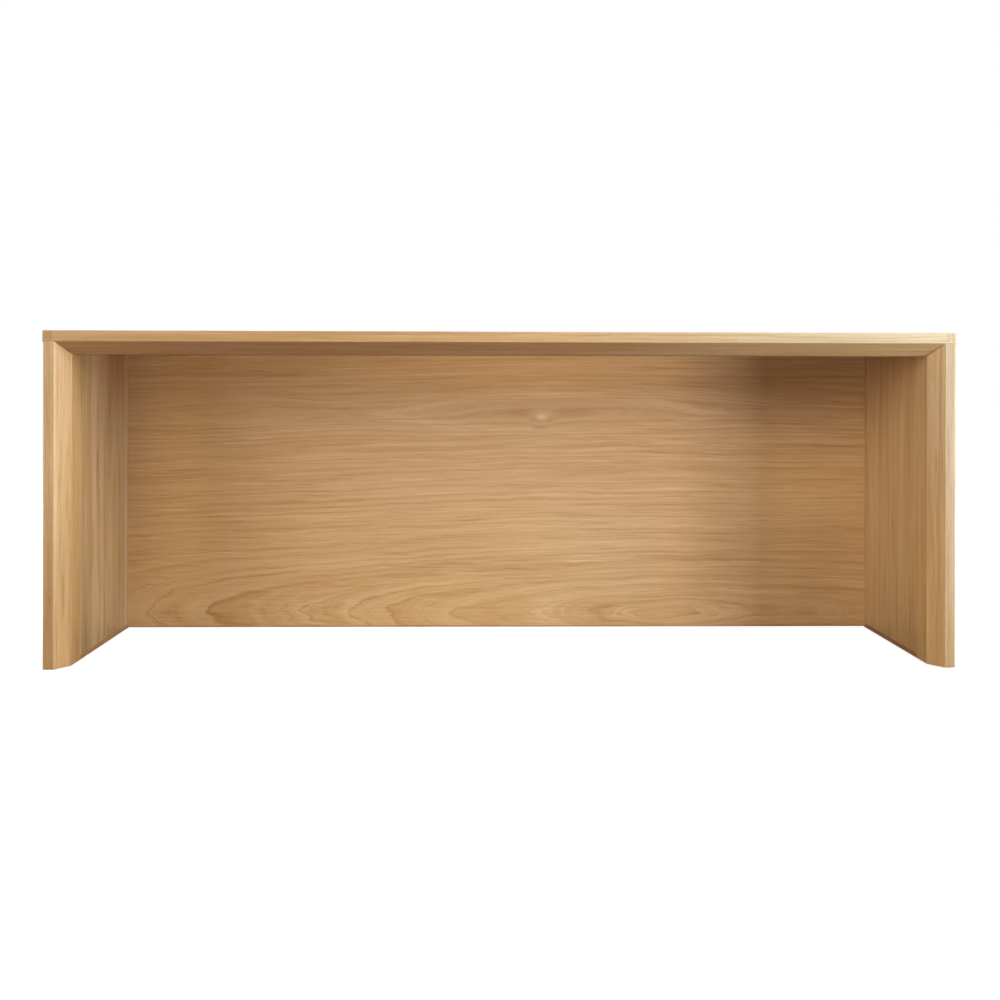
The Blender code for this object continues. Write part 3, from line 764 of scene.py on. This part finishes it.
# the wood of each piece; a spot starts with its height in the sides, and with its X in the top and the back
woodLooks = {
    "topNosing": {
        "body": "bf8f64",
        # painted sheen: paler and greyer towards the right end, on the front flat too
        "farSheenBody": "c6a77b",
        "fadeFrom": -0.1,
        "fadeTo": 0.76,
        "flatLightAndTone": (1.0, 1.1, 0.88),
        "flatFarLightAndTone": (0.8, 0.96, 1.2),
        "seed": 2.0,
        "heartAcross": underZ + 0.25,
        "heartDepth": 0.35,
        # painted shade along the bevel's lower edge towards the left
        "paintedLightAndTone": ((-0.35, underZ + 0.005, 0.30, 0.012, (0.96, 0.90, 0.90)),),
    },
    "leftNosing": {
        "grainAlong": "z",
        "body": "bf9663",
        # paler towards the top, and the front flat darker and warmer: painted light and shade, partly the
        # wood's own tone
        "farSheenBody": "d0a973",
        "fadeFrom": 0.05,
        "fadeTo": 0.4,
        "flatLightAndTone": (0.705, 0.637, 0.545),
        "outerShare": (0.92, 0.9, 0.88),
        "seed": 5.0,
        "heartDepth": 0.9,
        "streakScale": 130.0,
        "darkStrength": 0.6,
        "flatMarks": (
            (0.115, outerX - 0.0120, 0.011, 0.0022, 0.55),
            (0.150, outerX - 0.0105, 0.090, 0.0020, 0.25),
            (0.330, outerX - 0.0045, 0.120, 0.0018, 0.20),
            (0.060, outerX - 0.0040, 0.060, 0.0016, 0.22),
        ),
        # painted highlight along the bevel's front arris, painted shade towards the bevel's rear and behind
        # it, paler at the foot and darker under the top
        "paintedLightAndTone": (
            (0.3, frontY + 0.001, 0.45, 0.0035, (1.30, 1.45, 1.70)),
            (0.3, frontY + 0.028, 0.45, 0.012, (0.90, 0.89, 0.84)),
            (0.3, frontY + 0.066, 0.45, 0.015, (0.86, 0.87, 0.89)),
            (0.04, frontY + 0.020, 0.10, 0.03, (1.12, 1.14, 1.14)),
            (0.49, frontY + 0.010, 0.07, 0.02, (0.94, 0.89, 0.85)),
        ),
    },
    "rightNosing": {
        "grainAlong": "z",
        "body": "d4a262",
        # painted sheen: paler towards the top, and the front flat greyer than the bevel
        "farSheenBody": "dab17b",
        "fadeFrom": 0.1,
        "fadeTo": 0.55,
        "flatLightAndTone": (0.525, 0.63, 0.855),
        "outerShare": (0.8, 0.76, 0.8),
        "seed": 6.0,
        "heartDepth": -0.6,
        "streakScale": 130.0,
        "darkStrength": 0.6,
        # painted light at the foot and on the face behind the bevel, painted shade under the top
        "paintedLightAndTone": (
            (0.08, frontY + 0.015, 0.17, 0.05, (1.07, 1.11, 1.20)),
            (0.50, frontY + 0.015, 0.09, 0.03, (0.95, 0.92, 0.85)),
            (0.25, frontY + 0.060, 0.50, 0.018, (1.10, 1.15, 1.26)),
        ),
    },
    "leftEnd": {"grainAlong": "y", "body": "b18555", "seed": 7.0, "ringWidth": 0.004, "heartDepth": -0.45},
    # the right end's body is paler and greyer than the left end's: painted sheen
    "rightEnd": {"grainAlong": "y", "body": "ab9877", "seed": 7.5, "ringWidth": 0.004, "heartDepth": -0.45},
    "rearLipping": {"seed": 8.0, "ringWidth": 0.006},
    "uprightLipping": {"grainAlong": "z", "seed": 8.5, "ringWidth": 0.006},
    # darker than the other lippings: painted shade along the sides' feet
    "crossLipping": {"grainAlong": "y", "body": "ae8558", "seed": 8.8, "ringWidth": 0.006},
    "backVeneer": {
        "body": "d3a46c",
        "seed": 4.0,
        "heartAcross": backLow.z + 0.024,
        "heartDepth": -backLow.y + 0.022,
        "taper": 0.10,
        "taperCentre": 0.30,
        "ringWidth": 0.0125,
        "follow": 0.8,
        "streakScale": 215.0,
        "bandStrength": 0.38,
        "earlyStrength": 0.6,
        "toneSpread": 1.1,
        "lineStrength": 0.62,
        "darkStrength": 0.62,
        "paleStrength": 0.95,
        "flames": (
            (0.11, sightZ - 0.115, 0.32, 0.035, 0.86, 0.28),
            (-0.49, sightZ - 0.109, 0.15, 0.024, 0.7, 0.1),
            (0.083, sightZ - 0.122, 0.026, 0.012, 0.8, 0.0),
        ),
        # painted light and shade, partly the wood's own tone: a paler band under the top, a darker upper
        # right and a darker left edge where the sides shade the back, paler and darker bands along the
        # shade's edges, a paler stretch low down, and a pale ring round the knot
        "paintedLightAndTone": (
            (0.00, sightZ - 0.02, 0.38, 0.055, (1.31, 1.29, 1.23)),
            (0.50, sightZ - 0.04, 0.17, 0.075, (0.76, 0.72, 0.66)),
            (-0.74, sightZ - 0.2, 0.06, 0.50, (0.70, 0.70, 0.70)),
            (-0.60, sightZ - 0.3, 0.05, 0.30, (1.06, 1.08, 1.06)),
            (0.62, sightZ - 0.24, 0.16, 0.08, (1.12, 1.13, 1.10)),
            (0.20, sightZ - 0.40, 0.15, 0.13, (1.05, 1.12, 1.25)),
            (0.02, sightZ - 0.35, 0.35, 0.20, (0.985, 1.02, 1.02)),
            (0.43, sightZ - 0.33, 0.07, 0.25, (0.91, 0.91, 0.90)),
            (0.57, sightZ - 0.30, 0.05, 0.40, (1.08, 1.08, 1.07)),
            (0.083, sightZ - 0.122, 0.016, 0.009, (1.05, 1.06, 1.08)),
        ),
        "knots": (
            (0.150, sightZ - 0.112, 0.060, 0.016, 0.26),
            (0.045, sightZ - 0.112, 0.040, 0.013, 0.28),
            (0.082, sightZ - 0.142, 0.022, 0.005, 0.42),
            (0.100, sightZ - 0.130, 0.010, 0.003, 0.3),
        ),
        "eyes": ((0.084, sightZ - 0.121, 0.015, 0.0075, 1.0),),
    },
    "leftInner": {
        "grainAlong": "z",
        "body": "b9996e",
        "seed": 9.0,
        "heartAcross": frontY + 0.20,
        "heartDepth": 0.80,
        "ringWidth": 0.016,
        "streakScale": 55.0,
        "darkStrength": 1.0,
        "paleStrength": 0.85,
        "stripes": (
            (frontY + 0.080, frontY + 0.138, -0.25, 0.004),
            (frontY + 0.140, frontY + 0.165, 0.45, 0.003),
            (frontY + 0.265, frontY + 0.340, -0.2, 0.01),
            (frontY + 0.342, frontY + 0.370, 0.5, 0.002),
        ),
        "paintedLightAndTone": (
            # painted shade under the top at the rear, with a reddish painted reflection; then paler and
            # darker zones across the face
            (sightZ + 0.01, frontY + 0.285, 0.11, 0.088, (0.80, 0.58, 0.52)),
            (sightZ - 0.16, frontY + 0.24, 0.07, 0.03, (0.94, 0.96, 0.97)),
            (sightZ - 0.05, frontY + 0.12, 0.10, 0.06, (1.18, 1.24, 1.26)),
            (0.08, frontY + 0.115, 0.15, 0.05, (0.84, 0.84, 0.82)),
            (0.05, frontY + 0.31, 0.10, 0.06, (0.88, 0.90, 0.91)),
            (0.30, frontY + 0.32, 0.15, 0.06, (1.07, 1.11, 1.13)),
        ),
        "knots": (
            (0.310, frontY + 0.230, 0.008, 0.006, 0.35),
            (0.290, frontY + 0.205, 0.009, 0.005, 0.3),
            (0.230, frontY + 0.212, 0.006, 0.004, 0.4),
            (0.165, frontY + 0.222, 0.008, 0.005, 0.3),
            (0.108, frontY + 0.187, 0.006, 0.005, 0.4),
            (0.212, frontY + 0.149, 0.016, 0.0022, 0.45),
        ),
    },
    "rightInner": {
        "grainAlong": "z",
        "body": "dbb077",
        "seed": 11.0,
        "heartAcross": frontY + 0.2,
        "heartDepth": -0.45,
        "ringWidth": 0.016,
        "streakScale": 55.0,
        "lineStrength": 0.25,
        "darkStrength": 0.6,
        "paintedLightAndTone": (
            # painted shadow under the top, deepest close under it; then paler and darker zones across the
            # face, darker towards the foot
            (sightZ, frontY + 0.30, 0.10, 0.10, (0.92, 0.86, 0.82)),
            (sightZ + 0.01, frontY + 0.21, 0.035, 0.14, (0.72, 0.70, 0.68)),
            (sightZ - 0.05, frontY + 0.12, 0.30, 0.06, (1.04, 1.05, 1.06)),
            (0.25, frontY + 0.31, 0.30, 0.035, (1.10, 1.14, 1.16)),
            (0.25, frontY + 0.16, 0.60, 0.012, (1.05, 1.05, 1.06)),
            (0.25, frontY + 0.11, 0.60, 0.020, (0.90, 0.87, 0.84)),
            (0.05, frontY + 0.20, 0.08, 0.20, (0.95, 0.92, 0.90)),
        ),
    },
    "leftOuter": {
        "grainAlong": "z",
        "body": "bd9162",
        "seed": 12.0,
        "heartAcross": 0.02,
        "heartDepth": 0.86,
        "taper": 0.12,
        "taperCentre": 0.1,
        "wander": 0.018,
        "follow": 0.7,
    },
    "rightOuter": {
        "grainAlong": "z",
        "body": "bd9162",
        "seed": 12.6,
        "heartAcross": -0.01,
        "heartDepth": -0.67,
        "taper": 0.12,
        "taperCentre": 0.1,
        "wander": 0.018,
        "follow": 0.7,
    },
    "topFace": {
        "grainAlong": "top",
        "seed": 13.0,
        "heartAcross": 0.04,
        "heartDepth": -0.53,
        "taper": 0.12,
        "taperCentre": -0.2,
        "wander": 0.024,
        "follow": 0.7,
    },
    "beech": {"grainAlong": "z", "body": "cfae84", "seed": 14.0, "ringWidth": 0.003, "sheen": 0.75},
}
finish = {
    **{name: makeWood(f"{name}Wood", **look) for name, look in woodLooks.items()},
    "board": makeBoard("pressedBoard"),
    "zinc": makeMetal("castZinc"),
    "steel": makeMetal("platedSteel"),
    "nylon": makeNylon("naturalNylon"),
}
print("carrel: finishes made")


# shaped pieces

def easedEnd(start, way):
    # the first stations of a piece whose end is rounded over
    ease = edgeShape["endEase"]
    corner = ease * (1 - math.sqrt(0.5))
    return [(start, ease, 1), (start + way * corner, corner, 1), (start + way * ease, 0, 1),
            (start + way * edgeShape["wearReach"], 0, 0)]


def makeTopPieces():
    # the section's x runs back, its y up, and it is swept from left to right
    acrossX = Matrix(((0, 0, 1, 0), (1, 0, 0, frontY), (0, 1, 0, underZ), (0, 0, 0, 1)))
    depth = topHigh.y - frontY
    nosing = sweptPiece("topNosing", sectionOf(slabCorners(depth)),
                        [(topLow.x, 0, 0), (topHigh.x, 0, 0)], acrossX, finish["topNosing"])
    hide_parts("top_nosing")
    for side, inwards in (("left", 1), ("right", -1)):
        low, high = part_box(f"top_{side}_lipping")
        outer, inner = (low.x, high.x) if side == "left" else (high.x, low.x)
        lip = sweptPiece(f"top{side.title()}Lipping", sectionOf(slabCorners(high.y - low.y, depth)),
                         easedEnd(outer, inwards) + [(inner, 0, 0)], acrossX, finish[f"{side}End"])
        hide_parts(f"top_{side}_lipping")
    radius = edgeShape["arrisRadius"]
    rearLow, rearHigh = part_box("top_rear_lipping")
    near = rearLow.y - frontY
    far = rearHigh.y - frontY
    rear = sectionOf(((near, step, 0, 0), (far, step, radius, 0.8), (far, slab, radius, 0.8),
                      (near, slab, 0, 0)))
    lip = sweptPiece("topRearLipping", rear, [(rearLow.x, 0, 0), (rearHigh.x, 0, 0)], acrossX,
                     finish["rearLipping"])
    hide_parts("top_rear_lipping")


def makeSideNosing(side, sign):
    # the section's x runs back, its y outwards, and it is swept from the foot up
    low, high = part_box(f"{side}_nosing")
    innerX = low.x if sign > 0 else high.x
    upright = Matrix(((0, sign, 0, innerX), (1, 0, 0, frontY), (0, 0, 1, 0), (0, 0, 0, 1)))
    bevelDepth = edgeShape["bevelDepth"]
    rise = slab - edgeShape["flat"]

    def scribed(back):
        # the top end follows the top's flat and bevel
        return rise * min(1.0, max(0.0, 1 - back / bevelDepth))

    section = sectionOf(slabCorners(high.y - frontY))
    # a matching point on the outer face, opposite the bevel's rear arris
    section.append((Vector((bevelDepth, slab)), 0.0))
    rearArris = min(range(len(section)), key=lambda i: (section[i][0] - Vector((bevelDepth, 0.0))).length)
    nosing = sweptPiece(f"{side}Nosing", section, easedEnd(sideFoot, 1) + [(sideTop, 0, 0)], upright,
                        finish[f"{side}Nosing"], scribed, (rearArris, len(section) - 1))
    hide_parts(f"{side}_nosing")


makeTopPieces()
for sideName, sideSign in (("left", -1), ("right", 1)):
    makeSideNosing(sideName, sideSign)
print("carrel: nosings and lippings made")


# the frame's own pieces that stay, each with the finish for the ending of its node's name;
# what has none is lipping wood

endings = {
    "_bolt": "steel",
    "_glide_screw": "steel",
    "_cam": "zinc",
    "_glide": "nylon",
    "_core": "board",
    "back_foot_lipping": "rearLipping",
    "_foot_lipping": "crossLipping",
    "_rear_lipping": "uprightLipping",
    "left_outer_veneer": "leftOuter",
    "right_outer_veneer": "rightOuter",
    "left_inner_veneer": "leftInner",
    "right_inner_veneer": "rightInner",
    "top_face_veneer": "topFace",
    "top_under_veneer": "topFace",
    "back_front_veneer": "backVeneer",
    "back_rear_veneer": "backVeneer",
}


def finishFor(node):
    if "_dowel_" in node:
        return finish["beech"]
    found = [name for ending, name in endings.items() if node.endswith(ending)]
    return finish[found[0] if found else "rearLipping"]


for nodeName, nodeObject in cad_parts.items():
    for materialSlot in nodeObject.material_slots:
        materialSlot.link = "DATA"
        materialSlot.material = finishFor(nodeName)
print("carrel: frame pieces finished")


# floor, backdrop, lights and camera

stageLook = {
    "floorColour": "f7f6f4",
    "floorBounce": "4a4845",
    "floorGlow": 0.78,
    "glowFrom": 0.9,
    "glowTo": 4.0,
    "size": 60.0,
    "surround": 0.02,
    "lampAim": (0.0, 0.0, 0.3),
}


def makeStage():
    # a wide floor, close to white where the camera sees it, that throws little light back up
    material, tree, shader = startMaterial("paleFloor")
    shader["Base Color"].default_value = hexColour(stageLook["floorColour"])
    shader["Roughness"].default_value = 0.9
    shader["Specular IOR Level"].default_value = 0.0
    x, y, z = parted(tree, tree.nodes.new("ShaderNodeTexCoord").outputs["Object"])
    away = calc(tree, "SQRT", squares(tree, x, y))
    glow = ramped(tree, away, stageLook["glowFrom"], stageLook["glowTo"], stageLook["floorGlow"], 1.0)
    tree.links.new(glow, shader["Emission Color"])
    shader["Emission Strength"].default_value = 1.0
    dim = tree.nodes.new("ShaderNodeBsdfDiffuse")
    dim.inputs["Color"].default_value = hexColour(stageLook["floorBounce"])
    seen = tree.nodes.new("ShaderNodeLightPath").outputs["Is Camera Ray"]
    mixed = tree.nodes.new("ShaderNodeMixShader")
    output = tree.nodes["Material Output"]
    tree.links.new(seen, mixed.inputs[0])
    tree.links.new(dim.outputs[0], mixed.inputs[1])
    tree.links.new(tree.nodes["Principled BSDF"].outputs[0], mixed.inputs[2])
    tree.links.new(mixed.outputs[0], output.inputs["Surface"])
    mesh = bpy.data.meshes.new("floor")
    work = bmesh.new()
    bmesh.ops.create_grid(work, x_segments=1, y_segments=1, size=stageLook["size"] / 2)
    work.to_mesh(mesh)
    work.free()
    floor = bpy.data.objects.new("floor", mesh)
    bpy.context.scene.collection.objects.link(floor)
    floor.data.materials.append(material)


def makeSurround():
    # the room: white to the camera, softer as light
    world = bpy.data.worlds.new("softRoom")
    bpy.context.scene.world = world
    world.use_nodes = True
    tree = world.node_tree
    background = tree.nodes["Background"]
    background.inputs["Color"].default_value = (1.0, 1.0, 1.0, 1.0)
    seen = tree.nodes.new("ShaderNodeLightPath").outputs["Is Camera Ray"]
    tree.links.new(ramped(tree, seen, 0.0, 1.0, stageLook["surround"], 1.0, smooth=False),
                   background.inputs["Strength"])


def addSoftbox(name, place, size, power):
    light = bpy.data.lights.new(name, "AREA")
    light.shape = "RECTANGLE"
    light.size, light.size_y = size
    light.energy = power
    lamp = bpy.data.objects.new(name, light)
    bpy.context.scene.collection.objects.link(lamp)
    lamp.location = place
    towards = Vector(stageLook["lampAim"]) - Vector(place)
    lamp.rotation_euler = towards.to_track_quat("-Z", "Y").to_euler()


# name, place, size across and high, power in watts
softboxes = (
    ("rightHigh", (2.0, -0.79, 1.3), (0.6, 0.6), 31.0),
    ("rightLow", (2.0, -1.69, 0.2), (0.6, 0.6), 30.0),
    ("rightMiddle", (2.0, -0.79, 0.7), (0.6, 0.6), 10.5),
    ("rightNear", (1.25, -0.79, 0.6), (0.6, 0.6), 1.7),
    ("rightFar", (2.37, -0.84, 2.02), (1.3, 1.3), 9.4),
    ("rightSide", (3.0, -0.35, 0.6), (1.0, 1.0), 8.5),
    ("leftFront", (-2.28, -2.11, 0.72), (1.3, 1.3), 21.0),
    ("leftSide", (-2.87, -0.97, 0.72), (1.3, 1.3), 17.0),
    ("leftHigh", (-2.0, -1.69, 1.3), (0.6, 0.6), 6.6),
    ("frontHigh", (0.0, -2.66, 2.02), (1.3, 1.3), 11.0),
    ("frontMiddle", (0.4, -2.4, 1.1), (0.8, 0.6), 9.0),
    ("frontFoot", (0.0, -1.6, 0.12), (1.2, 0.2), 3.3),
    ("behindHigh", (0.8, 2.6, 2.6), (1.8, 1.8), 70.0),
    ("behindLow", (-1.6, 3.0, 0.9), (1.8, 1.8), 45.0),
)


# metres from the middle, before the front and above the sides' feet; turns in radians
cameraSetup = {
    "across": -0.04557,
    "before": 2.0466,
    "height": 0.4546,
    "yaw": -0.01995,
    "roll": 0.00206,
    "sensor": 36.0,
    "lens": 44.254,
    "shiftY": -0.1042,
}


def addCamera():
    data = bpy.data.cameras.new("camera")
    data.sensor_width = cameraSetup["sensor"]
    data.lens = cameraSetup["lens"]
    data.shift_y = cameraSetup["shiftY"]
    data.clip_start = 0.01
    camera = bpy.data.objects.new("camera", data)
    bpy.context.scene.collection.objects.link(camera)
    place = Matrix.Translation((cameraSetup["across"], frontY - cameraSetup["before"],
                                sideFoot + cameraSetup["height"]))
    turn = Matrix.Rotation(cameraSetup["yaw"], 4, "Z") @ Matrix.Rotation(math.pi / 2, 4, "X")
    camera.matrix_world = place @ turn @ Matrix.Rotation(cameraSetup["roll"], 4, "Z")
    bpy.context.scene.camera = camera


makeStage()
makeSurround()
for softbox in softboxes:
    addSoftbox(*softbox)
addCamera()
bpy.context.scene.view_settings.view_transform = "Standard"
print("carrel: stage, lights and camera placed")
